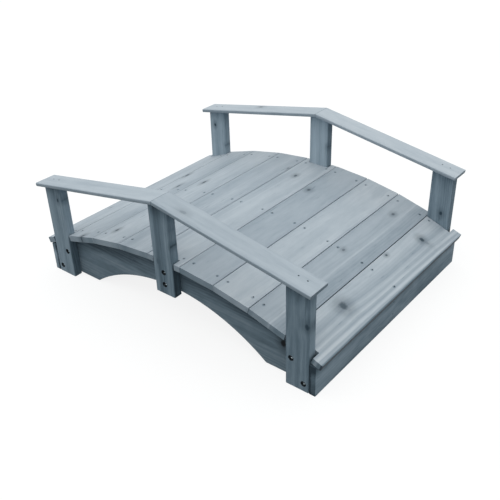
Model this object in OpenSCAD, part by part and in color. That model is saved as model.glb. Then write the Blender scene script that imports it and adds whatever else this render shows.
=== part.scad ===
// Small arched garden bridge in stained softwood: three sawn stringers, a deck of nine boards laid
// round their curve, six bolted posts and two handrails that rise to a peak.
// X runs along the walk, Y across it and Z up. The origin is on the ground under mid-span.
// "Left" is -X, "right" is +X, "front" is -Y and "back" is +Y.

/* [Deck] */
// Width of one deck board, along the walk
board_w = 112.6; // [104:0.2:122]
// Thickness of the deck boards
board_t = 18; // [14:0.5:24]
// Gap between neighbouring boards at their undersides
board_gap = 0.6; // [0.2:0.2:4]
// Length of the deck boards, across the bridge
deck_w = 745; // [500:5:1000]
// Rounding along the board edges
board_ease = 1.5; // [0.5:0.5:5]

/* [Stringers] */
// Radius of the stringers' arched top
top_r = 1225; // [1100:5:1600]
// Height of the stringers' top at mid-span
crown_z = 188.5; // [174:0.5:224]
// Thickness of each stringer
stringer_t = 26.5; // [20:0.5:40]
// Height of the arch sawn out below, at mid-span
arch_rise = 109; // [74:1:119]
// Length of the flat foot at each end of a stringer
foot_len = 150; // [110:1:190]
// Height of those feet above the ground, on which the end posts and end boards stand
foot_lift = 4.5; // [0:0.5:10]

/* [End boards] */
// Thickness of the boards on edge that close the two ends
end_board_t = 18; // [14:0.5:24]
// Gap between an end board and the end posts
end_board_gap = 1.4; // [0.4:0.2:8]

/* [Posts] */
// Width of a post, along the walk
post_w = 68.5; // [60:0.5:74]
// Thickness of a post, across the bridge
post_t = 26.5; // [20:0.5:40]
// Distance that the posts' outer faces stand out past the deck's edge
post_proud = 2; // [0.5:0.5:10]
// Gap between an end post and the deck board beside it
post_seam_gap = 1.8; // [0.6:0.2:5]
// Distance that a middle post hangs below the arch
middle_post_drop = 9; // [0:1:20]
// Gap between a notch and the side of its post
notch_gap = 3; // [0.5:0.5:6]
// Gap between a notch and the inner face of its post
notch_back_gap = 0.5; // [0.2:0.1:3]
// Rounding along the post edges
post_ease = 3; // [0.5:0.5:6]

/* [Handrails] */
// Width of a rail, across the bridge
rail_w = 69; // [60:0.5:90]
// Thickness of a rail
rail_t = 11; // [9:0.5:22]
// Height of a rail's top at the peak
rail_peak_z = 387; // [344:1:460]
// Slope of a rail in degrees
rail_slope = 10.2; // [6:0.1:14]
// Distance that a rail runs past its end post
rail_overhang = 13.5; // [5:0.5:30]
// Distance that a rail's centre line lies inside that of its posts
rail_inset = 2.3; // [0:0.1:6]
// Gap where two rails are mitred together over a middle post
mitre_gap = 0.4; // [0.2:0.1:2]
// Rounding along the rail edges
rail_ease = 3.5; // [0.5:0.5:4.5]

/* [Bolts] */
// Diameter of a bolt's shank
bolt_d = 8; // [6:0.5:10]
// Play between a shank and its hole, on the diameter
bolt_play = 0.6; // [0.3:0.1:1.5]
// Diameter of the recess that sinks a bolt's head into its post
recess_d = 16; // [15:0.5:20]
// Depth of that recess
recess_depth = 10; // [8:0.5:14]
// Diameter of a bolt's domed head
head_d = 13; // [11.5:0.5:13.5]
// Height of that head
head_h = 5.5; // [4.5:0.5:6]
// Height of the straight rim below the dome
head_rim = 1.5; // [1:0.5:2.5]
// Distance across the flats of the key's socket in a head
socket_flats = 6; // [4:0.5:7]
// Depth of that socket
socket_depth = 3; // [2:0.5:3.5]
// Diameter of a washer
washer_d = 14.8; // [13.5:0.1:14.9]
// Thickness of a washer
washer_t = 1.4; // [1:0.1:2]
// Distance across the flats of a nut
nut_flats = 13; // [12:0.5:13.5]
// Height of a nut
nut_h = 6.5; // [5:0.5:8]
// Length of shank that stands out of a nut
bolt_tail = 4; // [1:0.5:10]
// Distance of an end post's two bolts either side of its centre line
end_bolt_step = 18.5; // [12:0.5:22]
// Height of an end post's lower bolt
end_bolt_low = 22; // [16:0.5:34]
// Depth of an end post's upper bolt below the stringer's top
end_bolt_drop = 33; // [20:0.5:40]
// Distance of a middle post's bolts from the stringer's top and bottom edges
middle_bolt_inset = 21; // [12:0.5:24]

/* [Hidden] */
$fn = 96;
boards_each_side = 4;
reach = 3000;
wood = [0.58, 0.63, 0.67];
wood_dark = [0.42, 0.47, 0.51];
zinc = [0.72, 0.73, 0.74];

// The boards lie as tangents on the stringers' curve, a fixed angle apart
board_step = 2 * atan((board_w + board_gap) / (2 * top_r));
arc_z = crown_z - top_r;
end_slope = boards_each_side * board_step;
seam_slope = (boards_each_side - 1) * board_step;
seam_x = (top_r + board_t) * sin(seam_slope) + board_w / 2 * cos(seam_slope);

// The end posts stand past the last seam, and the end boards past the posts
post_x = seam_x + post_seam_gap + post_w / 2;
end_in_x = post_x + post_w / 2 + end_board_gap;
end_out_x = end_in_x + end_board_t;
end_board_h = arc_z + top_r * cos(end_slope) - (end_out_x - top_r * sin(end_slope)) * tan(end_slope);

// Far side of an outermost board's notch, from that board's centre line: it is sawn square to the board
end_notch_x = (post_x + post_w / 2 - top_r * sin(end_slope)) / cos(end_slope) + notch_gap;

// Faces across the bridge, measured from its middle
post_out_y = deck_w / 2 + post_proud;
stringer_out_y = post_out_y - post_t;
stringer_mid_y = stringer_out_y - stringer_t / 2;

// The arch below is one arc through the inner corners of the feet
arch_half = end_in_x - foot_len;
arch_h = arch_rise - foot_lift;
arch_r = (arch_half * arch_half + arch_h * arch_h) / (2 * arch_h);

// Underside of the rails at the peak, and a rail's length along its own underside
rail_under_z = rail_peak_z - rail_t / cos(rail_slope);
rail_end_x = post_x + post_w / 2 + rail_overhang;
rail_len = (rail_end_x - rail_t * sin(rail_slope)) / cos(rail_slope);

// Radius of the dome on a bolt's head
dome_h = head_h - head_rim;
dome_r = (head_d * head_d / 4 + dome_h * dome_h) / (2 * dome_h);

// Bolt places on a post, as [x, z]
function top_of_stringer(x) = arc_z + sqrt(top_r * top_r - x * x);
upper_bolt_x = post_x - end_bolt_step;
end_bolts = [
    [upper_bolt_x, top_of_stringer(upper_bolt_x) - end_bolt_drop],
    [post_x + end_bolt_step, end_bolt_low]
];
middle_bolts = [
    [0, crown_z - middle_bolt_inset],
    [0, arch_rise + middle_bolt_inset]
];

// Names, with the row on which each stringer stands and the way each post and rail faces
rows = [["front", -1], ["middle", 0], ["back", 1]];
sides = [["front", -1], ["back", 1]];
ends = [["left", -1], ["right", 1]];
places = [["left", -1], ["middle", 0], ["right", 1]];
board_count = 2 * boards_each_side + 1;

// Cross-section of a board with rounded edges, centred on X and standing on Y = 0
module eased_section(width, thick, ease) {
    translate([ease - width / 2, 0]) square([width - 2 * ease, thick]);
    translate([-width / 2, ease]) square([width, thick - 2 * ease]);
    for (x = [ease - width / 2, width / 2 - ease], y = [ease, thick - ease])
        translate([x, y]) circle(r = ease);
}

// Turns the +X half of the bridge into the -X half, or the +Y side into the -Y side
module to_end(way) {
    mirror([way < 0 ? 1 : 0, 0, 0]) children();
}

module to_side(way) {
    mirror([0, way < 0 ? 1 : 0, 0]) children();
}

// A round hole across the bridge, running outward from y
module bore(place, y, length, diameter) {
    translate([place[0], y, place[1]])
        rotate([-90, 0, 0])
            cylinder(d = diameter, h = length);
}

// Stringer: arched on top, with an arch sawn out below that leaves a flat foot at each end
module stringer_outline() {
    difference() {
        intersection() {
            translate([-end_in_x, foot_lift]) square([2 * end_in_x, crown_z - foot_lift]);
            translate([0, arc_z]) circle(r = top_r);
        }
        translate([0, arch_rise - arch_r]) circle(r = arch_r);
    }
}

module stringer(row) {
    color(wood_dark)
        translate([0, row * stringer_mid_y, 0])
            difference() {
                rotate([90, 0, 0])
                    linear_extrude(height = stringer_t, center = true) stringer_outline();
                if (row != 0) stringer_bores();
            }
}

module stringer_bores() {
    for (way = [-1, 1])
        to_end(way)
            for (place = end_bolts) bore(place, -stringer_t, 2 * stringer_t, bolt_d + bolt_play);
    for (place = middle_bolts) bore(place, -stringer_t, 2 * stringer_t, bolt_d + bolt_play);
}

// End board: on edge on the ground, closing the stringers' ends under the deck
module end_board(way) {
    color(wood_dark)
        to_end(way)
            translate([end_in_x, -post_out_y, 0])
                cube([end_board_t, 2 * post_out_y, end_board_h]);
}

// Deck board: the middle one is notched at mid-width, and the outermost ones at the corners beside the seam
module deck_board(number) {
    step = number - boards_each_side - 1;
    color(wood)
        to_end(step)
            laid_board(abs(step) * board_step)
                difference() {
                    plain_board();
                    if (step == 0) notches(-post_w / 2 - notch_gap, post_w / 2 + notch_gap);
                    if (abs(step) == boards_each_side) notches(-board_w, end_notch_x);
                }
}

module laid_board(slope) {
    translate([top_r * sin(slope), 0, arc_z + top_r * cos(slope)])
        rotate([0, slope, 0])
            children();
}

module plain_board() {
    rotate([90, 0, 0])
        linear_extrude(height = deck_w, center = true)
            eased_section(board_w, board_t, board_ease);
}

module notches(from, to) {
    back = stringer_out_y - notch_back_gap;
    for (side = [-1, 1])
        to_side(side)
            translate([from, back, -board_t])
                cube([to - from, deck_w, 3 * board_t]);
}

// Post: bolted flat against its stringer, with its top sawn to the slope of the rails
module post(side, way) {
    foot = way == 0 ? arch_rise - middle_post_drop : 0;
    color(wood)
        to_side(side)
            to_end(way)
                difference() {
                    translate([way == 0 ? 0 : post_x, stringer_out_y, foot])
                        linear_extrude(height = rail_peak_z - foot)
                            eased_section(post_w, post_t, post_ease);
                    above_rail_underside();
                    mirror([1, 0, 0]) above_rail_underside();
                    for (place = way == 0 ? middle_bolts : end_bolts) bolt_hole(place);
                }
}

module above_rail_underside() {
    translate([0, 0, rail_under_z])
        rotate([0, rail_slope, 0])
            translate([-rail_t, 0, 0])
                cube([reach, reach, reach]);
}

module bolt_hole(place) {
    bore(place, 0, reach, bolt_d + bolt_play);
    bore(place, post_out_y - recess_depth, reach, recess_d);
}

// Handrail: one flat board, mitred at the peak and square at its outer end
module rail(side, way) {
    color(wood)
        to_side(side)
            to_end(way)
                intersection() {
                    translate([0, stringer_out_y + post_t / 2 - rail_inset, rail_under_z])
                        rotate([0, rail_slope, 0])
                            rail_board();
                    translate([mitre_gap / 2, 0, 0]) cube([reach, reach, reach]);
                }
}

module rail_board() {
    translate([-rail_t, 0, 0])
        rotate([90, 0, 90])
            linear_extrude(height = rail_len + rail_t)
                eased_section(rail_w, rail_t, rail_ease);
}

// Bolts: a domed head on a washer in the recess, a shank through post and stringer, and a washer and nut inside
module bolts(side, way) {
    color(zinc)
        to_side(side)
            to_end(way)
                for (place = way == 0 ? middle_bolts : end_bolts) bolt(place);
}

module bolt(place) {
    seat_y = post_out_y - recess_depth;
    back_y = stringer_out_y - stringer_t;
    nut_y = back_y - washer_t - nut_h;
    bore(place, nut_y - bolt_tail, seat_y + washer_t + head_rim / 2 - nut_y + bolt_tail, bolt_d);
    bore(place, seat_y, washer_t, washer_d);
    translate([place[0], seat_y + washer_t, place[1]]) rotate([-90, 0, 0]) bolt_head();
    bore(place, back_y - washer_t, washer_t, washer_d);
    translate([place[0], nut_y, place[1]])
        rotate([-90, 0, 0])
            cylinder(d = nut_flats / cos(30), h = nut_h, $fn = 6);
}

module bolt_head() {
    difference() {
        intersection() {
            cylinder(d = head_d, h = head_h);
            translate([0, 0, head_h - dome_r]) sphere(r = dome_r);
        }
        translate([0, 0, head_h - socket_depth])
            cylinder(d = socket_flats / cos(30), h = socket_depth + 1, $fn = 6);
    }
}

for (row = rows)
    stringer(row[1]);
for (end = ends)
    end_board(end[1]);
for (k = [1 : board_count])
    deck_board(k);
for (side = sides, place = places)
    post(side[1], place[1]);
for (side = sides, end = ends)
    rail(side[1], end[1]);
for (side = sides, place = places)
    bolts(side[1], place[1]);
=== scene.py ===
# %% [markdown]
# # A small arched garden bridge
# The real bridge is about a metre long: three sawn stringers, nine deck boards, six posts and two
# peaked handrails, all in softwood under a thin grey-blue stain. The solids come ready made, so this
# lesson is about their looks: softened edges, wood grain with knots, nails, and a plain studio round it.

# %% Load the bridge and keep its box
import math

import bmesh
import bpy
from mathutils import Matrix, Vector


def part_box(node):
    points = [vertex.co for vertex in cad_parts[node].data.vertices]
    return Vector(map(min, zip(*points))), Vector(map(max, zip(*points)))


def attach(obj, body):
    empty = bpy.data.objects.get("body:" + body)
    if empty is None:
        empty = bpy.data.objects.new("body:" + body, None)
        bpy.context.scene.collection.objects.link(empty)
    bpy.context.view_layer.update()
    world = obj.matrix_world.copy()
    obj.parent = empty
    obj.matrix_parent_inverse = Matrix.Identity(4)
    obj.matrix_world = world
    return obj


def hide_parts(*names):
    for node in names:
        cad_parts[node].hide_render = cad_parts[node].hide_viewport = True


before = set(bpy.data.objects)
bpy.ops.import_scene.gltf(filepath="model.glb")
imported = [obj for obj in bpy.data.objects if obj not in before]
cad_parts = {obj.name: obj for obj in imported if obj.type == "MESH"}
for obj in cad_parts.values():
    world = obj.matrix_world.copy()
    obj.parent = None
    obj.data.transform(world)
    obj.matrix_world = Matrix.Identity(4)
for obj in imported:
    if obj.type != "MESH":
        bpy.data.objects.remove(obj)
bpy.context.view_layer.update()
MM = 0.001

# %% [markdown]
# ## Camera
# The picture was taken from above the right-hand front corner, with a normal lens held almost level.
# The place and the turns below were worked out from where the bridge's corners fall in the picture.
# Building the camera's matrix from its forward, right and up directions keeps the small roll exact.

# %% Camera
EYE = Vector((1.1785, -1.4451, 1.1953))
TURN_LEFT = 0.6841
LOOK_DOWN = 0.5627
ROLL = -0.0288
PICTURE = 500
FOCAL_PIXELS = 714.99
CENTRE_PIXEL = (253.33, 259.13)
SENSOR = 36.0

forward = Vector((
    -math.sin(TURN_LEFT) * math.cos(LOOK_DOWN),
    math.cos(TURN_LEFT) * math.cos(LOOK_DOWN),
    -math.sin(LOOK_DOWN),
))
level = Vector((math.cos(TURN_LEFT), math.sin(TURN_LEFT), 0))
upward = level.cross(forward)
side = level * math.cos(ROLL) + upward * math.sin(ROLL)
top = upward * math.cos(ROLL) - level * math.sin(ROLL)

lens = bpy.data.cameras.new("camera")
lens.sensor_width = SENSOR
lens.lens = FOCAL_PIXELS / PICTURE * SENSOR
lens.shift_x = (PICTURE / 2 - CENTRE_PIXEL[0]) / PICTURE
lens.shift_y = (CENTRE_PIXEL[1] - PICTURE / 2) / PICTURE
camera = bpy.data.objects.new("camera", lens)
camera.matrix_world = Matrix((side, top, -forward)).transposed().to_4x4()
camera.location = EYE
bpy.context.scene.collection.objects.link(camera)
bpy.context.scene.camera = camera
bpy.context.scene.view_settings.view_transform = "Standard"
print("camera lens", round(lens.lens, 2), "mm")

# %% [markdown]
# ## Helpers for node trees
# Every finish below is a small network of nodes. A few helpers keep the code short: one adds a node and
# fills or links its inputs, two add a single sum of numbers or of vectors and give back its result, and the
# last makes a soft step between two values.

# %% Helpers for node trees
def add_node(tree, kind, inputs=None, **settings):
    """Adds a node, sets its options, and fills each named input with a value or a link."""
    made = tree.nodes.new(kind)
    for name, value in settings.items():
        setattr(made, name, value)
    for key, value in (inputs or {}).items():
        if isinstance(value, bpy.types.NodeSocket):
            tree.links.new(value, made.inputs[key])
        else:
            made.inputs[key].default_value = value
    return made


def calc(tree, operation, *values):
    """Adds one Math node and returns its result."""
    return add_node(tree, "ShaderNodeMath", dict(enumerate(values)), operation=operation).outputs[0]


def vector_calc(tree, operation, *values):
    """Adds one Vector Math node and returns its result, a number for a length or a dot product."""
    made = add_node(tree, "ShaderNodeVectorMath", dict(enumerate(values)), operation=operation)
    return made.outputs["Value" if operation in ("LENGTH", "DOT_PRODUCT") else "Vector"]


def fade(tree, value, low, high):
    """0 below low and 1 above high, with a smooth step between; turned round where low is above high."""
    made = add_node(tree, "ShaderNodeMapRange", {"Value": value}, interpolation_type="SMOOTHSTEP")
    made.inputs["From Min"].default_value = min(low, high)
    made.inputs["From Max"].default_value = max(low, high)
    made.inputs["To Min"].default_value = 0 if low < high else 1
    made.inputs["To Max"].default_value = 1 if low < high else 0
    return made.outputs["Result"]

# %% [markdown]
# ## Helpers for finishes
# A finish starts as an empty material and ends with a shader on the surface. In between, fine noise gives
# speckle, a ramp turns a number into a colour, and a mix lays one colour over another. Colours are written
# as they look on screen, and turned into the linear values that shaders work with.

# %% Helpers for finishes
def tint(red, green, blue):
    """A colour picked on screen, from 0 to 255, as the linear colour that shaders use."""
    def linear(value):
        part = value / 255
        return part / 12.92 if part <= 0.04045 else ((part + 0.055) / 1.055) ** 2.4
    return (linear(red), linear(green), linear(blue), 1)


def new_finish(name):
    """An empty material and its node tree."""
    material = bpy.data.materials.new(name)
    material.use_nodes = True
    material.node_tree.nodes.clear()
    return material, material.node_tree


def set_surface(tree, shader):
    """Makes a shader the surface of a finish."""
    add_node(tree, "ShaderNodeOutputMaterial", {"Surface": shader.outputs[0]})


def speckle(tree, scale, detail):
    """Fine noise on the piece's own coordinates, with about so many waves to a metre."""
    place = add_node(tree, "ShaderNodeTexCoord").outputs["Object"]
    made = add_node(tree, "ShaderNodeTexNoise", {"Vector": place, "Scale": scale, "Detail": detail})
    return made.outputs[0]


def ramp(tree, value, stops, interpolation="LINEAR"):
    """Turns a number into a colour through (position, colour) stops."""
    made = add_node(tree, "ShaderNodeValToRGB", {"Fac": value})
    made.color_ramp.interpolation = interpolation
    elements = made.color_ramp.elements
    while len(elements) < len(stops):
        elements.new(1.0)
    for element, (position, colour) in zip(elements, sorted(stops)):
        element.position = position
        element.color = colour
    return made.outputs["Color"]


def mix_colours(tree, share, under, over):
    """Lays one colour over another by a share from 0 to 1."""
    made = add_node(tree, "ShaderNodeMix", {"Factor": share, 6: under, 7: over}, data_type="RGBA")
    return made.outputs[2]

# %% [markdown]
# ## Studio
# The bridge stands on a plain white floor that runs out of sight. The light is mostly from above, so the
# deck is pale and the upright faces fall into a bluish shade. The floor shows white to the camera with a
# faint shadow, and is darker to the light that bounces, or it would fill the shade under the bridge.
# Mirror-like reflections see the same white studio as the camera, so that the bolt heads can glint.

# %% Studio floor
WHITE = (1, 1, 1, 1)
FLOOR_REACH = 30.0
FLOOR_PAPER = (0.9, 0.9, 0.9, 1)
FLOOR_BOUNCE = (0.14, 0.16, 0.17, 1)
FLOOR_GLOW = 1.06
GLOW_SHARE = 0.8


def white_to_eye(tree):
    """1 for rays from the camera and for mirror-like or see-through ones, 0 for light that bounces."""
    path = add_node(tree, "ShaderNodeLightPath").outputs
    mirrored = calc(tree, "MAXIMUM", path["Is Glossy Ray"], path["Is Transmission Ray"])
    return calc(tree, "MAXIMUM", path["Is Camera Ray"], mirrored)


def floor_finish():
    """Nearly white with a faint shadow to the eye, and grey to the light that bounces."""
    material, tree = new_finish("studio_floor")
    paper = add_node(tree, "ShaderNodeBsdfDiffuse", {"Color": FLOOR_PAPER}).outputs[0]
    glow = add_node(tree, "ShaderNodeEmission", {"Color": WHITE, "Strength": FLOOR_GLOW}).outputs[0]
    shown = add_node(tree, "ShaderNodeMixShader", {"Fac": GLOW_SHARE, 1: paper, 2: glow}).outputs[0]
    bounce = add_node(tree, "ShaderNodeBsdfDiffuse", {"Color": FLOOR_BOUNCE}).outputs[0]
    both = add_node(tree, "ShaderNodeMixShader", {"Fac": white_to_eye(tree), 1: bounce, 2: shown})
    set_surface(tree, both)
    return material


floor_mesh = bpy.data.meshes.new("studio_floor")
corners = [(x * FLOOR_REACH, y * FLOOR_REACH, 0) for x, y in ((-1, -1), (1, -1), (1, 1), (-1, 1))]
floor_mesh.from_pydata(corners, [], [(0, 1, 2, 3)])
floor_mesh.materials.append(floor_finish())
floor = bpy.data.objects.new("studio_floor", floor_mesh)
bpy.context.scene.collection.objects.link(floor)
print("floor", 2 * FLOOR_REACH, "m square")

# %% Studio light
KEY_STRENGTH = 2.97
KEY_COLOUR = (0.965, 0.945, 0.915)
KEY_SPREAD = math.radians(145)
KEY_FROM = Vector((-0.1, -0.12, 1.0))
SKY_COLOUR = (0.50, 0.82, 1.0, 1)
SKY_STRENGTH = 0.17

key_light = bpy.data.lights.new("key_light", "SUN")
key_light.energy = KEY_STRENGTH
key_light.color = KEY_COLOUR
key_light.angle = KEY_SPREAD
key = bpy.data.objects.new("key_light", key_light)
key.rotation_euler = KEY_FROM.to_track_quat("Z", "Y").to_euler()
bpy.context.scene.collection.objects.link(key)

world = bpy.data.worlds.new("studio_sky")
world.use_nodes = True
sky = world.node_tree
sky.nodes.clear()
sky_fill = add_node(sky, "ShaderNodeBackground", {"Color": SKY_COLOUR, "Strength": SKY_STRENGTH}).outputs[0]
sky_white = add_node(sky, "ShaderNodeBackground", {"Color": WHITE, "Strength": 1.0}).outputs[0]
sky_seen = add_node(sky, "ShaderNodeMixShader", {"Fac": white_to_eye(sky), 1: sky_fill, 2: sky_white})
add_node(sky, "ShaderNodeOutputWorld", {"Surface": sky_seen.outputs[0]})
bpy.context.scene.world = world
print("key light", KEY_STRENGTH, "sky", SKY_STRENGTH)

# %% [markdown]
# ## How a board lies
# Wood grain runs along a board, so each finish needs to know which way its board lies. The show face of a
# board is the average of the triangles that look about the right way, the grain is the board's long way
# laid flat in that face, and the third direction runs across the board.

# %% How a board lies
FACE_LOOK = 0.8


def board_axes(node, face_hint, grain_hint):
    """The board's middle, and its along, across and face directions."""
    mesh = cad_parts[node].data
    hint = Vector(face_hint)
    face = Vector((0, 0, 0))
    for polygon in mesh.polygons:
        if polygon.normal.dot(hint) > FACE_LOOK:
            face += polygon.normal * polygon.area
    face.normalize()
    grain = Vector(grain_hint)
    along = (grain - face * grain.dot(face)).normalized()
    across = face.cross(along)
    low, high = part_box(node)
    return (low + high) / 2, along, across, face


def board_rotation(axes):
    """The turn that takes the grain directions to the bridge's own X, Y and Z."""
    return Matrix(axes[1:]).transposed().to_euler()


def half_thickness(node, axes):
    """Distance from a board's middle to its show face."""
    middle, along, across, face = axes
    return max((vertex.co - middle).dot(face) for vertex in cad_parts[node].data.vertices)

# %% [markdown]
# ## Wood figure
# A flat-sawn softwood board is cut from a log, and its pattern is what the saw met: growth rings round a
# pith that lies outside the board and leans a little. So the rings here are distances from a leaning line,
# which gives arches on the faces and curves on the end grain without any picture. Noise that is stretched
# along the grain bends the rings, draws fibres, streaks and short dark flecks, and spreads the stain. Its
# waves are given to a metre, along and across the grain, with how much finer detail they carry.

# %% Wood figure
WAVES = {
    "Wander": (1.7, 9, 2.0, 0.5), "Ripple": (9, 60, 2.0, 0.5), "Mottle": (6, 20, 3.0, 0.55),
    "Cloud": (24, 75, 3.0, 0.6), "Streak": (2.6, 80, 3.0, 0.6), "Coarse": (14, 260, 3.0, 0.6),
    "Fine": (30, 1000, 2.0, 0.6), "Fleck": (22, 190, 1.0, 0.5),
}
WANDER_REACH = 30 * MM
RIPPLE_REACH = 3.5 * MM
FLECK_STEP = (0.19, 0.28)
LATE_WOOD_RISE = (0.2, 0.85)
LATE_WOOD_END = (1.0, 0.88)
RING_CHANGE = 0.71
RING_CONTRAST, RING_LEAST = 1.4, 0.1
COARSE_SHARE = 0.6


def group_tree(name, vectors, numbers, results):
    """An empty group of shader nodes with named inputs and results, and its inputs."""
    tree = bpy.data.node_groups.new(name, "ShaderNodeTree")
    for title in vectors:
        tree.interface.new_socket(title, in_out="INPUT", socket_type="NodeSocketVector")
    for title in numbers:
        tree.interface.new_socket(title, in_out="INPUT", socket_type="NodeSocketFloat")
    for title in results:
        tree.interface.new_socket(title, in_out="OUTPUT", socket_type="NodeSocketFloat")
    return tree, add_node(tree, "NodeGroupInput").outputs


def wood_figure_group():
    """Rings, fibres, streaks, flecks and patches of a board, each as a number."""
    tree, given = group_tree(
        "wood_figure", ("Place",), ("Seed", "Pith Across", "Pith Depth", "Lean", "Ring Width", "Bend"),
        ("Ring", "Fibre", "Streak", "Mottle", "Cloud", "Fleck", "Wander"),
    )
    split = add_node(tree, "ShaderNodeSeparateXYZ", {0: given["Place"]}).outputs

    def stretched(along, across, detail, rough):
        """Noise round zero that is stretched along the grain."""
        place = vector_calc(tree, "MULTIPLY", given["Place"], (along, across, across))
        made = add_node(
            tree, "ShaderNodeTexNoise",
            {"Vector": place, "W": given["Seed"], "Scale": 1.0, "Detail": detail, "Roughness": rough},
            noise_dimensions="4D",
        )
        return calc(tree, "SUBTRACT", made.outputs[0], 0.5)

    noise = {name: stretched(*waves) for name, waves in WAVES.items()}
    leaning = calc(tree, "MULTIPLY_ADD", split[0], given["Lean"], split[1])
    sideways = calc(tree, "ABSOLUTE", calc(tree, "SUBTRACT", leaning, given["Pith Across"]))
    down = calc(tree, "ABSOLUTE", calc(tree, "ADD", split[2], given["Pith Depth"]))
    squares = calc(tree, "ADD", calc(tree, "POWER", sideways, 2.0), calc(tree, "POWER", down, 2.0))
    reach = calc(tree, "MULTIPLY_ADD", noise["Wander"], WANDER_REACH, calc(tree, "SQRT", squares))
    reach = calc(tree, "MULTIPLY_ADD", noise["Ripple"], RIPPLE_REACH, reach)
    reach = calc(tree, "ADD", reach, given["Bend"])
    count = calc(tree, "DIVIDE", reach, given["Ring Width"])
    phase = calc(tree, "FRACT", count)
    late = calc(tree, "MULTIPLY", fade(tree, phase, *LATE_WOOD_RISE), fade(tree, phase, *LATE_WOOD_END))
    which = add_node(
        tree, "ShaderNodeTexNoise", {"W": calc(tree, "FLOOR", count), "Scale": RING_CHANGE, "Detail": 0.0},
        noise_dimensions="1D",
    ).outputs[0]
    ring = calc(tree, "MULTIPLY", late, calc(tree, "MULTIPLY_ADD", which, RING_CONTRAST, RING_LEAST))
    fine = calc(tree, "MULTIPLY", noise["Fine"], 1 - COARSE_SHARE)
    fibre = calc(tree, "MULTIPLY_ADD", noise["Coarse"], COARSE_SHARE, fine)
    results = {"Ring": ring, "Fibre": fibre, "Fleck": fade(tree, noise["Fleck"], *FLECK_STEP)}
    for name in ("Streak", "Mottle", "Cloud", "Wander"):
        results[name] = noise[name]
    add_node(tree, "NodeGroupOutput", results)
    return tree


wood_figure = wood_figure_group()
print("wood figure of", len(wood_figure.nodes), "nodes")

# %% [markdown]
# ## Knots
# A knot is a branch that the saw cut across: a dark oval core in a smoky halo, with the grain of the trunk
# bending round it. It runs through the board, so only its place along and across the face matters. One
# group makes one knot, and a board chains as many as it has. Distances are counted in knot sizes here.

# %% Knots
KNOT_CORE = (1.2, 0.3)
KNOT_HALO = (2.8, 0.4)
HALO_STRENGTH = 0.45
RAGGED_SCALE = 90.0
RAGGED_EDGE = 0.7
BEND_REACH = 4.5
BEND = 1.6 * MM


def knot_group():
    """One knot: its dark over that of the knots before it, and its bend added to theirs."""
    tree, given = group_tree(
        "knot", ("Place", "Centre", "Size"), ("Strength", "Dark", "Bend"), ("Dark", "Bend")
    )
    offset = vector_calc(tree, "SUBTRACT", given["Place"], given["Centre"])
    flat = vector_calc(tree, "MULTIPLY", offset, (1, 1, 0))
    length = vector_calc(tree, "LENGTH", vector_calc(tree, "DIVIDE", flat, given["Size"]))
    wobble = add_node(
        tree, "ShaderNodeTexNoise", {"Vector": given["Place"], "Scale": RAGGED_SCALE, "Detail": 3.0}
    ).outputs[0]
    uneven = calc(tree, "SUBTRACT", wobble, 0.5)
    distance = calc(tree, "MULTIPLY_ADD", uneven, RAGGED_EDGE, length)
    halo = calc(tree, "MULTIPLY", fade(tree, distance, *KNOT_HALO), HALO_STRENGTH)
    shade = calc(tree, "MAXIMUM", fade(tree, distance, *KNOT_CORE), halo)
    dark = calc(tree, "MAXIMUM", given["Dark"], calc(tree, "MULTIPLY", shade, given["Strength"]))
    bend = calc(tree, "MULTIPLY_ADD", fade(tree, distance, BEND_REACH, 0.0), BEND, given["Bend"])
    add_node(tree, "NodeGroupOutput", {"Dark": dark, "Bend": bend})
    return tree


knot_shape = knot_group()
print("knot of", len(knot_shape.nodes), "nodes")

# %% [markdown]
# ## Stain
# The stain is thin, so the wood shows through: pale and bluish on the early wood, darker on the late wood,
# nearly slate on knots and end grain. A tone between 0 and 1 is worked out first, and one ramp turns it into
# a colour, so that every board keeps to the same few stain colours. The boards that stand upright have a
# bluer ramp, as painted shade colour for the bluish shade they stand in. Each board has its own light and
# dark bands across its width, because each came from another part of a log, and the knots and the rust
# round its nails lie on top.

# %% Stain colours
STAIN = (
    (0.00, tint(44, 57, 67)),
    (0.30, tint(108, 124, 135)),
    (0.55, tint(154, 165, 175)),
    (0.75, tint(178, 187, 195)),
    (1.00, tint(208, 213, 218)),
)
# A bluer ramp for the upright faces, as painted shade colour.
UPRIGHT_SHADE_STAIN = (
    (0.00, tint(44, 57, 66)),
    (0.30, tint(103, 120, 132)),
    (0.55, tint(144, 160, 172)),
    (0.75, tint(166, 181, 192)),
    (1.00, tint(195, 207, 215)),
)
KNOT_COLOUR = tint(46, 63, 74)
# A near-black painted shade for the dark pocket between the front stringer, its post and the deck.
POCKET_SHADE_COLOUR = tint(10, 16, 20)
print("stain ramps of", len(STAIN), "and", len(UPRIGHT_SHADE_STAIN), "tones")

# %% Bands, knots and rust
NAIL_ROW = 334.75
RUST_STEP = (6.5 * MM, 1.5 * MM)


def band_tone(tree, across, bands):
    """The tone across a board, from (across in mm, tone) stops."""
    low, high = bands[0][0], bands[-1][0]
    share = add_node(
        tree, "ShaderNodeMapRange", {"Value": across, "From Min": low * MM, "From Max": high * MM}
    ).outputs["Result"]
    stops = [((at - low) / (high - low), (tone, tone, tone, 1)) for at, tone in bands]
    return ramp(tree, share, stops, "EASE")


def chained_knots(tree, place, knots):
    """Dark and bend of knots, from a list of (along, across, half length, half width, strength), in mm."""
    dark, bend = 0.0, 0.0
    for along, across, half_length, half_width, strength in knots:
        values = {
            "Place": place, "Centre": (along * MM, across * MM, 0),
            "Size": (half_length * MM, half_width * MM, 1), "Strength": strength, "Dark": dark, "Bend": bend,
        }
        made = add_node(tree, "ShaderNodeGroup", values, node_tree=knot_shape)
        dark, bend = made.outputs["Dark"], made.outputs["Bend"]
    return dark, bend


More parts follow.
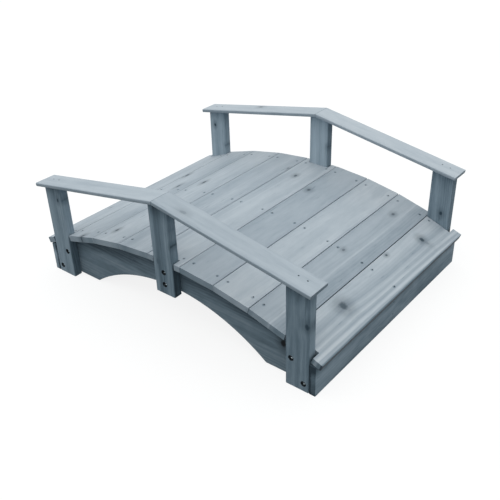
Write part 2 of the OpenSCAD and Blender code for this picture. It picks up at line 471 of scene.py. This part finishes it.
def nail_rust(tree, split, spots):
    """Dark iron stain round the nails. spots are (across in mm, whether the outer rows have it too)."""
    along = calc(tree, "ABSOLUTE", split[0])
    outer = calc(tree, "ABSOLUTE", calc(tree, "SUBTRACT", along, NAIL_ROW * MM))
    nearest = 1.0
    for at, every_row in spots:
        to_row = calc(tree, "MINIMUM", along, outer) if every_row else along
        to_side = calc(tree, "SUBTRACT", split[1], at * MM)
        to_side = calc(tree, "MULTIPLY", to_side, to_side)
        squares = calc(tree, "ADD", calc(tree, "POWER", to_row, 2.0), to_side)
        nearest = calc(tree, "MINIMUM", nearest, calc(tree, "SQRT", squares))
    return fade(tree, nearest, *RUST_STEP)

# %% [markdown]
# ## Weather, and painted light and shade
# Where a board lies changes its tone as well. End grain drinks more stain, and sanded edges wear and also
# take a painted highlight. Painted shade darkens the posts' sides below the deck, the stringers just under
# the deck's edge, the tops of the posts under the rails, the outer edge of the last deck board and the joint
# where an end board meets its post, and side faces are painted lighter or darker as light and shade. Painted
# light makes the deck paler beside the rails, where their shade falls. Each of these is a mask from 0 to 1
# with the tone that it adds.

# %% Weather and painted light
ARCH_CENTRE_Z = -1036.5
STRINGER_TOP = 1225.0
BOARD_T = 18.0
# Heights below the deck, where the posts' sides are painted darker as shade.
UNDER_DECK = ((STRINGER_TOP + BOARD_T + 3) * MM, STRINGER_TOP * MM)
# Heights where the stringers are painted darker, as the shade under the deck's edge.
DECK_CORNER_SHADE = ((STRINGER_TOP - 60) * MM, (STRINGER_TOP - 18) * MM)
# Reach along the deck where it is painted lighter, against the rails' shade.
BESIDE_RAIL = (190 * MM, 310 * MM)
# How far down from their tops the posts are painted darker, as shade under the rails.
RAIL_SHADE_REACH = 70 * MM
# Width of the painted shade along an outer deck edge.
EDGE_SHADE_WIDTH = 5 * MM
# Reach of the painted shadow in the joint between an end board and its post.
JOINT_SHADE = (7 * MM, 2 * MM)
RUST_TONE = -0.30


def height_on_arch(tree, object_place):
    """Distance from the centre of the arch that the stringers' tops follow, the same all along a top."""
    centred = vector_calc(tree, "SUBTRACT", object_place, (0, 0, ARCH_CENTRE_Z * MM))
    return vector_calc(tree, "LENGTH", vector_calc(tree, "MULTIPLY", centred, (1, 0, 1)))


def weather_and_painted_light(tree, object_place, split, side, end_grain, end_tone=-0.22, side_tone=0.0, wear=0.08,
            top_shade_under_deck=0.0, damp_sides=0.0, untrodden=0.0, shelter=None, dark_edge=None, seam=None, nails=None):
    """Pairs of a mask and the tone that it adds; the rail, edge and seam masks take (place, amount). End
    grain and rust are real tones, the sanded strips wear and take a painted highlight, and the rest is
    painted light and shade.
    """
    # The sanded strips are made lighter or darker, partly as wear and partly as painted highlight, and side
    # faces lighter or darker as painted light and shade.
    edge_strips = add_node(tree, "ShaderNodeAttribute", attribute_name="sanded").outputs["Fac"]
    pairs = [(end_grain, end_tone), (edge_strips, wear), (side, side_tone)]
    # The masks below paint shade below the deck and under the rails, light beside the rails, and shade under
    # an outer edge and in a joint; the nails' rust is real.
    if damp_sides:
        below = fade(tree, height_on_arch(tree, object_place), *UNDER_DECK)
        pairs.append((calc(tree, "MULTIPLY", side, below), -damp_sides))
    if top_shade_under_deck:
        pairs.append((fade(tree, height_on_arch(tree, object_place), *DECK_CORNER_SHADE), -top_shade_under_deck))
    if untrodden:
        pairs.append((fade(tree, calc(tree, "ABSOLUTE", split[0]), *BESIDE_RAIL), untrodden))
    if shelter:
        top, amount = shelter
        pairs.append((fade(tree, split[0], top - RAIL_SHADE_REACH, top), -amount))
    if dark_edge:
        start, amount = dark_edge
        pairs.append((fade(tree, split[1], start, start + EDGE_SHADE_WIDTH), -amount))
    if seam:
        back, amount = seam
        joint = fade(tree, split[2], back + JOINT_SHADE[0], back + JOINT_SHADE[1])
        pairs.append((calc(tree, "MULTIPLY", joint, end_grain), -amount))
    if nails:
        pairs.append((nail_rust(tree, split, nails), RUST_TONE))
    return pairs

# %% [markdown]
# ## The finish of a board
# All of this meets in one finish: the bands, swayed and bent by the figure and leaning a little where the
# saw ran askew, the figure's fine detail, calmer on end grain, and the weather with its painted light and
# shade. Fibres and rings also give the bump, and fibres the gloss.

# %% The finish of a board
GRAIN = {"Mottle": 0.18, "Cloud": 0.16, "Streak": 0.13, "Fibre": 0.18, "Ring": -0.05, "Fleck": -0.12}
BAND_SWAY = 18 * MM
END_LOOK = (0.5, 0.9)
SIDE_LOOK = (0.6, 0.95)
END_CALM = 0.7
FIBRE_HEIGHT, RING_HEIGHT = 0.8, 0.4
BUMP_STRENGTH, BUMP_DISTANCE = 0.4, 0.6 * MM
GLOSS_CHANGE, GLOSS = 0.25, 0.6


def stained_board(name, axes, seed, bands, knots=(), grain=None, pith=(0.0, 45.0), lean=0.03, ring_width=6.0,
                  band_lean=0.0, stain=STAIN, knot_or_shade_colour=KNOT_COLOUR, sheen=0.2, **places):
    """A stained board. pith is its place across and depth in mm, grain changes amounts of GRAIN, and places
    are the arguments of the weather masks, painted light and shade among them. The knot colour can be a
    painted shade, for a dark spot drawn as a knot."""
    material, tree = new_finish(name + "_stain")
    middle, along, across, face = axes
    object_place = add_node(tree, "ShaderNodeTexCoord").outputs["Object"]
    place = add_node(
        tree, "ShaderNodeMapping",
        {"Vector": object_place, "Location": middle, "Rotation": board_rotation(axes)}, vector_type="TEXTURE",
    ).outputs[0]
    split = add_node(tree, "ShaderNodeSeparateXYZ", {0: place}).outputs
    dark, bend = chained_knots(tree, place, knots)
    settings = {
        "Place": place, "Seed": seed, "Pith Across": pith[0] * MM, "Pith Depth": pith[1] * MM, "Lean": lean,
        "Ring Width": ring_width * MM, "Bend": bend,
    }
    figure = add_node(tree, "ShaderNodeGroup", settings, node_tree=wood_figure).outputs

    swayed = calc(tree, "MULTIPLY_ADD", figure["Wander"], BAND_SWAY, split[1])
    if band_lean:
        swayed = calc(tree, "MULTIPLY_ADD", split[0], band_lean, swayed)
    if knots:
        swayed = calc(tree, "ADD", swayed, bend)
    normal = add_node(tree, "ShaderNodeNewGeometry").outputs["Normal"]
    to_end = calc(tree, "ABSOLUTE", vector_calc(tree, "DOT_PRODUCT", normal, along))
    to_side = calc(tree, "ABSOLUTE", vector_calc(tree, "DOT_PRODUCT", normal, across))
    end_grain = fade(tree, to_end, *END_LOOK)
    side = fade(tree, to_side, *SIDE_LOOK)
    detail = 0.0
    for part, amount in {**GRAIN, **(grain or {})}.items():
        detail = calc(tree, "MULTIPLY_ADD", figure[part], amount, detail)
    calm = calc(tree, "MULTIPLY_ADD", end_grain, -END_CALM, 1.0)
    tone = calc(tree, "MULTIPLY_ADD", detail, calm, band_tone(tree, swayed, bands))
    for mask, amount in weather_and_painted_light(tree, object_place, split, side, end_grain, **places):
        tone = calc(tree, "MULTIPLY_ADD", mask, amount, tone)
    colour = ramp(tree, tone, stain)
    if knots:
        colour = mix_colours(tree, dark, colour, knot_or_shade_colour)

    rings = calc(tree, "MULTIPLY", figure["Ring"], RING_HEIGHT)
    height = calc(tree, "MULTIPLY_ADD", figure["Fibre"], FIBRE_HEIGHT, rings)
    bump = add_node(
        tree, "ShaderNodeBump", {"Height": height, "Strength": BUMP_STRENGTH, "Distance": BUMP_DISTANCE}
    ).outputs[0]
    gloss = calc(tree, "MULTIPLY_ADD", figure["Fibre"], GLOSS_CHANGE, GLOSS)
    set_surface(tree, add_node(
        tree, "ShaderNodeBsdfPrincipled",
        {"Base Color": colour, "Roughness": gloss, "Normal": bump, "Specular IOR Level": sheen},
    ))
    return material

# %% [markdown]
# ## Softened boards
# The solids have rounded long edges but knife-sharp saw cuts at their ends, and light shows that at once.
# Each wooden piece is therefore a copy of its solid with the triangles merged into flat faces and a small
# rounding on every sharp edge, as sandpaper leaves it. The narrow rounded strips are marked as sanded, so
# that the finish can wear there first and take a painted highlight.

# %% Softened boards
SANDED_EDGE = 0.9 * MM
SANDED_STEPS = 2
SHARP_ANGLE = math.radians(40)
FLAT_ANGLE = math.radians(0.4)
WELD = 0.01 * MM


def merged_shape(node):
    """The node's triangles, welded and merged into flat faces."""
    shape = bmesh.new()
    shape.from_mesh(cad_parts[node].data)
    bmesh.ops.remove_doubles(shape, verts=shape.verts, dist=WELD)
    bmesh.ops.dissolve_limit(shape, angle_limit=FLAT_ANGLE, verts=shape.verts, edges=shape.edges)
    return shape


def placed_piece(shape, node, name, materials):
    """Turns a shape into a smooth-shaded piece that stands for its node."""
    mesh = bpy.data.meshes.new(name)
    shape.to_mesh(mesh)
    shape.free()
    for material in materials:
        mesh.materials.append(material)
    mesh.polygons.foreach_set("use_smooth", [True] * len(mesh.polygons))
    mesh.set_sharp_from_angle(angle=SHARP_ANGLE)
    piece = bpy.data.objects.new(name, mesh)
    bpy.context.scene.collection.objects.link(piece)
    shading = piece.modifiers.new("even_shading", "WEIGHTED_NORMAL")
    shading.keep_sharp = True
    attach(piece, "root")
    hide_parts(node)
    return piece


def softened_copy(node, materials, inside=None):
    """A copy of a CAD board with sanded edges. inside picks the faces that take the second material."""
    shape = merged_shape(node)
    sharp = [e for e in shape.edges if len(e.link_faces) == 2 and e.calc_face_angle() > SHARP_ANGLE]
    made = bmesh.ops.bevel(
        shape, geom=sharp, offset=SANDED_EDGE, segments=SANDED_STEPS, profile=0.5, affect="EDGES",
        clamp_overlap=True,
    )
    strips = set(made["faces"])
    sanded = shape.faces.layers.float.new("sanded")
    for face in shape.faces:
        face[sanded] = 1.0 if face in strips else 0.0
        if inside and inside(face.calc_center_median()):
            face.material_index = 1
    return placed_piece(shape, node, node + "_wood", materials)

# %% [markdown]
# ## Deck boards
# Nine boards lie across the walk. Their bands follow the real boards: the outer right one is pale beside
# the seam and striped towards its free edge, the next has a thin pale streak and a dark side, the ones just
# right of the crown are calmer, and the four on the left have more flecks. Places across run towards the
# right-hand end, and along towards the front.

# %% Deck board values
DECK_BANDS = {
    1: [(-57, 0.62), (-20, 0.67), (5, 0.61), (25, 0.67), (40, 0.69), (57, 0.71)],
    2: [(-57, 0.68), (-30, 0.69), (0, 0.66), (30, 0.60), (42, 0.53), (57, 0.57)],
    3: [(-57, 0.62), (-25, 0.70), (10, 0.71), (35, 0.66), (57, 0.58)],
    4: [(-57, 0.63), (-35, 0.54), (-10, 0.60), (15, 0.65), (40, 0.59), (57, 0.60)],
    5: [(-57, 0.68), (-38, 0.62), (-20, 0.70), (10, 0.74), (35, 0.68), (57, 0.72)],
    6: [(-57, 0.53), (-20, 0.59), (20, 0.60), (57, 0.57)],
    7: [(-57, 0.68), (-25, 0.74), (5, 0.71), (35, 0.75), (57, 0.69)],
    8: [(-57, 0.58), (-35, 0.66), (-5, 0.62), (4, 0.64), (9, 0.73), (15, 0.58), (32, 0.51), (57, 0.54)],
    9: [(-57, 0.76), (-42, 0.78), (-29, 0.77), (-14, 0.66), (-3, 0.57), (10, 0.74), (20, 0.61), (29, 0.79),
        (38, 0.56), (47, 0.84), (50, 0.78), (54, 0.61), (66, 0.59)],
}
DECK_KNOTS = {
    1: [(142, -24, 7, 5, 0.6)],
    2: [(-130, -46, 16, 6, 0.95), (-31, 10, 16, 6, 0.9), (366, 4, 13, 8, 0.9)],
    3: [(-72, -26, 15, 6, 0.95), (307, -22, 12, 6, 0.9)],
    4: [(-270, 50, 8, 4, 0.6)],
    5: [(-238, -12, 11, 7, 0.85)],
    6: [(-183, -38, 11, 8, 0.8)],
    8: [(-3, -24, 9, 6, 0.7), (-265, -15, 10, 7, 0.75)],
    9: [(175, -19, 18, 18, 0.85), (172, -6, 12, 15, 0.4), (-238, -13, 11, 12, 0.95),
        (-240, 4, 8, 15, 0.4), (-86, -46, 7, 5, 0.85)],
}
DECK_PITH = {1: (30, 60), 2: (-10, 70), 3: (20, 75), 4: (-30, 65), 5: (10, 85), 6: (0, 150), 7: (-15, 90),
             8: (-40, 60), 9: (-70, 45)}
DECK_NAILS = {number: ((-40, True), (40, True)) for number in range(2, 9)}
DECK_NAILS[1] = ((-33, False), (41, True))
DECK_NAILS[9] = ((-41, True), (33, False))
CALM_BOARDS = {6: 0.5, 7: 0.8}
FLECKED_BOARDS = (1, 2, 3, 4)
OUTER_BOARDS = (1, 9)
STRIPED_BOARD = 9
print("knots in the deck", sum(len(knots) for knots in DECK_KNOTS.values()))

# %% Deck boards
deck_axes = {}
for number in range(1, 10):
    node = f"deck_board_{number}"
    deck_axes[number] = board_axes(node, (0, 0, 1), (0, -1, 0))
    amount = CALM_BOARDS.get(number, 1.0)
    grain = {"Ring": -0.05 * amount, "Streak": 0.14 * amount, "Mottle": 0.20 * amount}
    grain["Fleck"] = -0.22 if number in FLECKED_BOARDS else -0.12
    own = {"end_tone": -0.27, "side_tone": 0.0, "wear": 0.08}
    if number in OUTER_BOARDS:
        # Their outer edge faces are painted dark as shade.
        own.update(side_tone=-0.55, wear=-0.1)
    if number == STRIPED_BOARD:
        # Its outer edge is painted dark, as the shade under it.
        own.update(end_tone=-0.42, band_lean=0.023, dark_edge=(49.5 * MM, 0.36))
    # The deck is painted lighter towards both ends, beside the rails, against the rails' shade.
    finish = stained_board(
        node, deck_axes[number], seed=3.7 * number, bands=DECK_BANDS[number],
        knots=DECK_KNOTS.get(number, ()), grain=grain, pith=DECK_PITH[number],
        lean=0.02 + 0.006 * (number % 4), nails=DECK_NAILS[number], untrodden=0.065, **own,
    )
    softened_copy(node, [finish])
print("deck boards", len(deck_axes))

# %% [markdown]
# ## Handrails
# Four boards make two peaked rails, mitred over the middle posts. They are pale on top like the deck, and
# darker on their narrow sides, as painted shade. The deck's finish serves them too,
# with the grain turned along each rail and with calmer rings.

# %% Handrails
RAIL_TONES = {
    "rail_front_left": 0.68, "rail_front_right": 0.67, "rail_back_left": 0.71, "rail_back_right": 0.77,
}
RAIL_KNOTS = {"rail_front_right": [(-158, -8, 14, 9, 0.4)], "rail_back_left": [(-13, 15, 12, 7, 0.75)]}
RAIL_BANDS = ((-35, -0.02), (-18, 0.02), (6, -0.01), (20, 0.03), (35, 0.0))

rail_axes = {}
for index, (node, tone) in enumerate(RAIL_TONES.items()):
    rail_axes[node] = board_axes(node, (0, 0, 1), (1, 0, 0))
    finish = stained_board(
        node, rail_axes[node], seed=51 + 4.3 * index, bands=[(at, tone + more) for at, more in RAIL_BANDS],
        knots=RAIL_KNOTS.get(node, ()), grain={"Ring": -0.04, "Streak": 0.10}, pith=(12 - 8 * index, 90),
        side_tone=-0.18, end_tone=-0.36,
    )
    softened_copy(node, [finish])
print("rails", len(rail_axes))

# %% [markdown]
# ## Posts
# Six posts are bolted to the stringers and carry the rails. They stand upright, so they take the bluer ramp
# of painted shade colour, with strong streaks up the grain, painted shade at their tops under the rails and
# on their sides below the deck, and painted light or shade on their side faces. The walls of the bolt
# recesses take a second material, nearly black, as painted shade, picked by their place inside the post.

# %% Post values
# Besides their streaks, the back posts' bands are lighter as painted light from the bright deck, and the
# front posts' darker as painted shade.
POST_BANDS = {
    "post_front_left": [(-35, 0.48), (-20, 0.55), (0, 0.48), (20, 0.56), (35, 0.52)],
    "post_front_middle": [(-35, 0.42), (-26, 0.46), (-15, 0.49), (-6, 0.39), (4, 0.28), (13, 0.25),
                          (19, 0.36), (24, 0.49), (35, 0.50)],
    "post_front_right": [(-35, 0.48), (-27, 0.39), (-20, 0.40), (-12, 0.45), (-2, 0.40), (12, 0.41),
                         (24, 0.38), (35, 0.36)],
    "post_back_left": [(-35, 0.64), (-15, 0.72), (5, 0.62), (20, 0.70), (35, 0.58)],
    "post_back_middle": [(-35, 0.62), (-15, 0.75), (5, 0.65), (20, 0.73), (35, 0.60)],
    "post_back_right": [(-35, 0.46), (-15, 0.52), (5, 0.45), (20, 0.46), (35, 0.54)],
}
# Tones that paint light or shade on each post's side faces.
POST_SIDE_LIGHT = {
    "post_front_left": 0.13, "post_front_middle": 0.05, "post_front_right": 0.10,
    "post_back_left": 0.05, "post_back_middle": -0.12, "post_back_right": -0.10,
}
POST_KNOTS = {
    "post_front_left": [(104, -17, 10, 6, 0.95), (106, -38, 8, 6, 0.8)],
    "post_front_right": [(45, -27, 11, 9, 0.95)],
    "post_front_middle": [(20, -38, 8, 7, 0.85), (66, -36, 8, 6, 0.2), (-40, 19, 14, 5, 0.5)],
    "post_back_left": [(92, -11, 9, 6, 0.95), (24, 34, 7, 6, 0.4)],
    "post_back_right": [(12, 8, 10, 7, 0.95)],
    "post_back_middle": [(38, 40, 9, 8, 0.95)],
}
print("knots in the posts", sum(len(knots) for knots in POST_KNOTS.values()))

# %% Posts
RECESS_SKIN_LOW = Vector((6, 1.5, 8)) * MM
RECESS_SKIN_HIGH = Vector((6, 1.5, 40)) * MM


def recess_shade_finish():
    """Nearly black painted shade on the walls of the bolt recesses, where light hardly reaches."""
    material, tree = new_finish("recess_shade")
    blotch = speckle(tree, 300.0, 2.0)
    colour = ramp(tree, blotch, [(0.3, tint(12, 22, 28)), (0.7, tint(30, 41, 48))])
    gloss = calc(tree, "MULTIPLY_ADD", blotch, 0.3, 0.5)
    set_surface(tree, add_node(tree, "ShaderNodeBsdfPrincipled", {"Base Color": colour, "Roughness": gloss}))
    return material


def inside_post(low, high):
    """A test for points well inside a post, where only the walls of its bolt recesses lie."""
    core_low = low + RECESS_SKIN_LOW
    core_high = high - RECESS_SKIN_HIGH
    return lambda point: all(core_low[i] < point[i] < core_high[i] for i in range(3))


recess_shade = recess_shade_finish()
post_axes = {}
for index, (node, bands) in enumerate(POST_BANDS.items()):
    front = "front" in node
    post_axes[node] = board_axes(node, (0, -1 if front else 1, 0), (0, 0, 1))
    low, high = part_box(node)
    # Painted shade under the rails and below the deck, and painted light or shade on the side faces.
    finish = stained_board(
        node, post_axes[node], seed=80 + 5.1 * index, bands=bands, knots=POST_KNOTS[node],
        grain={"Ring": -0.08, "Streak": 0.30, "Fibre": 0.36}, pith=(20 - 9 * index, 50), ring_width=5.0,
        stain=UPRIGHT_SHADE_STAIN, sheen=0.08, side_tone=POST_SIDE_LIGHT[node], damp_sides=0.30, wear=-0.04,
        shelter=((high.z - low.z) / 2, 0.19 if front else 0.08),
    )
    softened_copy(node, [finish, recess_shade], inside_post(low, high))
print("posts", len(post_axes))

# %% [markdown]
# ## Stringers and end boards
# Three stringers carry the deck, and an end board closes them at each end. They lie in the shade, with
# painted shade on the stringers just under the deck's edge, a dark spot of painted shade in the front
# stringer beside its post, drawn as a knot, and painted shadow in the joint where an end board meets the
# post. An end board's bands are given from below upwards, so they turn with its own axes, and their dark top
# stops are painted shade under the deck's edge.

# %% Stringers and end boards
FRAME_FACES = {
    "stringer_front": ((0, -1, 0), (1, 0, 0), -0.15),
    "stringer_middle": ((0, -1, 0), (1, 0, 0), -0.15),
    "stringer_back": ((0, 1, 0), (1, 0, 0), -0.15),
    "end_board_left": ((-1, 0, 0), (0, 1, 0), 0.05),
    "end_board_right": ((1, 0, 0), (0, 1, 0), -0.34),
}
STRINGER_BANDS = [(-95, 0.33), (-60, 0.36), (-30, 0.32), (0, 0.35), (30, 0.28), (65, 0.32), (95, 0.29)]
# A dark spot of painted shade in the front stringer beside its post, drawn as a knot.
STRINGER_SHADE_SPOTS = {"stringer_front": [(371, -4, 12, 18, 1.0)]}
# The end boards' tones fall dark at the top as painted shade under the deck's edge.
END_BANDS = [(-45, 0.38), (-30, 0.46), (-18, 0.46), (-6, 0.51), (6, 0.58), (13, 0.55), (19, 0.48), (24, 0.40),
             (29, 0.30), (33, 0.25), (45, 0.15)]
# Amounts of painted shadow in the joint where each end board meets its post.
END_SEAM_SHADE = {"end_board_left": 0.46, "end_board_right": 0.20}

frame_axes = {}
for index, (node, (face_hint, grain_hint, end_tone)) in enumerate(FRAME_FACES.items()):
    axes = board_axes(node, face_hint, grain_hint)
    frame_axes[node] = axes
    grain = {"Ring": -0.06, "Streak": 0.18}
    if node.startswith("end_board"):
        bands = sorted((at * axes[2].z, tone) for at, tone in END_BANDS)
        grain.update(Mottle=0.65, Cloud=0.35)
        own = {"stain": UPRIGHT_SHADE_STAIN, "seam": (-half_thickness(node, axes), END_SEAM_SHADE[node])}
    else:
        bands = STRINGER_BANDS
        grain.update(Mottle=0.25, Cloud=0.20)
        # The stringers are painted darker just under the deck's edge, as shade.
        own = {"stain": STAIN, "top_shade_under_deck": 0.18}
    finish = stained_board(
        node, axes, seed=120 + 6.7 * index, bands=bands, knots=STRINGER_SHADE_SPOTS.get(node, ()), grain=grain,
        pith=(-20 + 15 * index, 40), lean=0.015, ring_width=7.0, knot_or_shade_colour=POCKET_SHADE_COLOUR, sheen=0.08,
        end_tone=end_tone, wear=0.0, **own,
    )
    softened_copy(node, [finish])
print("frame boards", len(frame_axes))

# %% [markdown]
# ## Bolts
# The bolts are zinc plated, and each shows as a small glint in a recess painted dark. The lower part of every
# head is painted dark and dull as shade, and only what looks upwards shows the metal plate. That is a mask
# from the direction a face looks, not from the viewer. The plate itself has a fine mottled bloom. The copies
# are welded so that the domed heads shade smoothly.

# %% Bolts
BLOOM_SCALE = 420.0
UPPER_STEP = (0.22, 0.42)
UPPER_RAGGED = 0.5


def zinc_finish():
    """Zinc plate, painted dark and dull as shade over all that doesn't look upwards."""
    material, tree = new_finish("zinc_plate")
    bloom = speckle(tree, BLOOM_SCALE, 3.0)
    plate = ramp(tree, bloom, [(0.3, tint(142, 157, 164)), (0.7, tint(200, 212, 217))])
    # The lower part of each head is painted dark and dull as shade.
    lower_shade = ramp(tree, bloom, [(0.3, tint(14, 24, 30)), (0.7, tint(34, 45, 52))])
    normal = add_node(tree, "ShaderNodeNewGeometry").outputs["Normal"]
    looks_up = add_node(tree, "ShaderNodeSeparateXYZ", {0: normal}).outputs[2]
    ragged = calc(tree, "MULTIPLY_ADD", calc(tree, "SUBTRACT", bloom, 0.5), UPPER_RAGGED, looks_up)
    upper_face = fade(tree, ragged, *UPPER_STEP)
    gloss = calc(tree, "MULTIPLY_ADD", upper_face, -0.3, calc(tree, "MULTIPLY_ADD", bloom, 0.25, 0.42))
    set_surface(tree, add_node(
        tree, "ShaderNodeBsdfPrincipled",
        {"Base Color": mix_colours(tree, upper_face, lower_shade, plate), "Metallic": upper_face, "Roughness": gloss,
         "Specular IOR Level": 0.3},
    ))
    return material


zinc = zinc_finish()
bolt_nodes = [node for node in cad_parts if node.startswith("bolts_")]
for node in bolt_nodes:
    placed_piece(merged_shape(node), node, node + "_zinc", [zinc])
print("bolts in zinc plate", len(bolt_nodes))

# %% [markdown]
# ## Nails
# Two nails hold each board to each stringer, less one beside each end post, and that makes fifty in the
# deck. They are all one nail, set again and again, and that is work for Geometry Nodes: a small mesh holds
# one point to a nail with the direction its head faces, and the tree grows a rounded, closed head there,
# sized a little by chance with a fixed seed. The result is then kept as a plain mesh.

# %% Nail tree
HEAD_SIDES = 14
HEAD_STEPS = ((0.6, 1.0), (0.25, 0.86), (0.15, 0.6))
LEAST_HEAD, LARGEST_HEAD = 0.88, 1.12
HEAD_SEED = 5


def nail_tree():
    """Grows a nail head on every point. Each step of a head has its share of the rise and shrinks the cap."""
    tree = bpy.data.node_groups.new("nail_heads", "GeometryNodeTree")
    for name, kind in (("Geometry", "Geometry"), ("Head Radius", "Float"), ("Head Rise", "Float"),
                       ("Finish", "Material")):
        tree.interface.new_socket(name, in_out="INPUT", socket_type="NodeSocket" + kind)
    tree.interface.new_socket("Geometry", in_out="OUTPUT", socket_type="NodeSocketGeometry")
    given = add_node(tree, "NodeGroupInput").outputs
    disc = add_node(
        tree, "GeometryNodeMeshCircle", {"Vertices": HEAD_SIDES, "Radius": given["Head Radius"]},
        fill_type="NGON",
    ).outputs["Mesh"]
    head, cap = disc, True
    for share, shrink in HEAD_STEPS:
        step = calc(tree, "MULTIPLY", given["Head Rise"], share)
        raised = add_node(
            tree, "GeometryNodeExtrudeMesh", {"Mesh": head, "Selection": cap, "Offset Scale": step},
            mode="FACES",
        ).outputs
        cap = raised["Top"]
        head = add_node(
            tree, "GeometryNodeScaleElements",
            {"Geometry": raised["Mesh"], "Selection": cap, "Scale": shrink}, domain="FACE",
        ).outputs["Geometry"]
    underside = add_node(tree, "GeometryNodeFlipFaces", {"Mesh": disc}).outputs[0]
    both = add_node(tree, "GeometryNodeJoinGeometry", {"Geometry": underside})
    tree.links.new(head, both.inputs["Geometry"])
    closed = add_node(
        tree, "GeometryNodeMergeByDistance", {"Geometry": both.outputs[0], "Distance": WELD}
    ).outputs[0]
    facing = add_node(
        tree, "GeometryNodeInputNamedAttribute", {"Name": "facing"}, data_type="FLOAT_VECTOR"
    ).outputs[0]
    turn = add_node(tree, "FunctionNodeAlignRotationToVector", {"Vector": facing}, axis="Z").outputs[0]
    size = add_node(
        tree, "FunctionNodeRandomValue", {2: LEAST_HEAD, 3: LARGEST_HEAD, "Seed": HEAD_SEED},
        data_type="FLOAT",
    ).outputs[1]
    placed = add_node(
        tree, "GeometryNodeInstanceOnPoints",
        {"Points": given["Geometry"], "Instance": closed, "Rotation": turn, "Scale": size},
    ).outputs[0]
    real = add_node(tree, "GeometryNodeRealizeInstances", {"Geometry": placed}).outputs[0]
    smooth = add_node(tree, "GeometryNodeSetShadeSmooth", {"Geometry": real}).outputs[0]
    done = add_node(
        tree, "GeometryNodeSetMaterial", {"Geometry": smooth, "Material": given["Finish"]}
    ).outputs[0]
    add_node(tree, "NodeGroupOutput", {"Geometry": done})
    return tree


nail_heads = nail_tree()
print("nail tree of", len(nail_heads.nodes), "nodes")

# %% Driving nails
HEAD_RADIUS = 2.1 * MM
HEAD_RISE = 0.45 * MM
SUNK = 0.2 * MM


def nail_finish():
    """Dull iron with a dark bloom where the stain ran over the heads."""
    material, tree = new_finish("nail_iron")
    bloom = speckle(tree, 600.0, 3.0)
    colour = ramp(tree, bloom, [(0.3, tint(34, 44, 52)), (0.55, tint(60, 72, 81)), (0.75, tint(60, 60, 60))])
    metal = fade(tree, bloom, 0.65, 0.45)
    gloss = calc(tree, "MULTIPLY_ADD", bloom, 0.4, 0.35)
    set_surface(tree, add_node(
        tree, "ShaderNodeBsdfPrincipled", {"Base Color": colour, "Metallic": metal, "Roughness": gloss}
    ))
    return material


nail_iron = nail_finish()


def drive_nails(name, places):
    """One piece of nail heads from a list of (place, facing) pairs."""
    mesh = bpy.data.meshes.new(name + "_points")
    mesh.from_pydata([place - facing * SUNK for place, facing in places], [], [])
    layer = mesh.attributes.new("facing", "FLOAT_VECTOR", "POINT")
    for item, (place, facing) in zip(layer.data, places):
        item.vector = facing
    piece = bpy.data.objects.new(name, mesh)
    bpy.context.scene.collection.objects.link(piece)
    grow = piece.modifiers.new("nails", "NODES")
    grow.node_group = nail_heads
    named = {item.name: item.identifier for item in nail_heads.interface.items_tree if item.in_out == "INPUT"}
    grow[named["Head Radius"]] = HEAD_RADIUS
    grow[named["Head Rise"]] = HEAD_RISE
    grow[named["Finish"]] = nail_iron
    bpy.context.view_layer.update()
    seen = piece.evaluated_get(bpy.context.evaluated_depsgraph_get())
    grown = bpy.data.meshes.new_from_object(seen)
    piece.modifiers.clear()
    piece.data = grown
    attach(piece, "root")
    print(name, len(places), "nails,", len(grown.polygons), "faces")
    return piece


def show_face(node, axes):
    """The middle of a board's show face."""
    return axes[0] + axes[3] * half_thickness(node, axes)

# %% [markdown]
# ## Where the nails are
# The deck's nails stand in three rows over the stringers, and no carpenter sets them quite in line, so each
# drifts a little along its board. Two nails hold each rail to its end post, and two hold each end board to
# the middle stringer.

# %% Nails
NAIL_DRIFT = 3.0
RAIL_NAILS_ALONG = (-12.5, 12.5)
RAIL_NAILS_ACROSS = 5.0
END_NAIL_HEIGHTS = (-22, 18)

deck_places = []
for number, axes in deck_axes.items():
    middle, along, across, face = axes
    surface = show_face(f"deck_board_{number}", axes)
    for at, every_row in DECK_NAILS[number]:
        for row in (-NAIL_ROW, 0, NAIL_ROW) if every_row else (0,):
            drift = NAIL_DRIFT * math.sin(2.3 * number + 1.7 * row + 0.1 * at)
            deck_places.append((surface + along * (row + drift) * MM + across * at * MM, face))
drive_nails("deck_nails", deck_places)

rail_places = []
for node, axes in rail_axes.items():
    middle, along, across, face = axes
    surface = show_face(node, axes)
    post_middle = post_axes[node.replace("rail", "post")][0]
    for step in RAIL_NAILS_ALONG:
        run = (post_middle.x + step * MM - surface.x) / along.x
        rail_places.append((surface + along * run + across * RAIL_NAILS_ACROSS * MM, face))
drive_nails("rail_nails", rail_places)

end_places = []
for node in ("end_board_left", "end_board_right"):
    surface = show_face(node, frame_axes[node])
    for at in END_NAIL_HEIGHTS:
        end_places.append((surface + Vector((0, 0, at * MM)), frame_axes[node][3]))
drive_nails("end_board_nails", end_places)
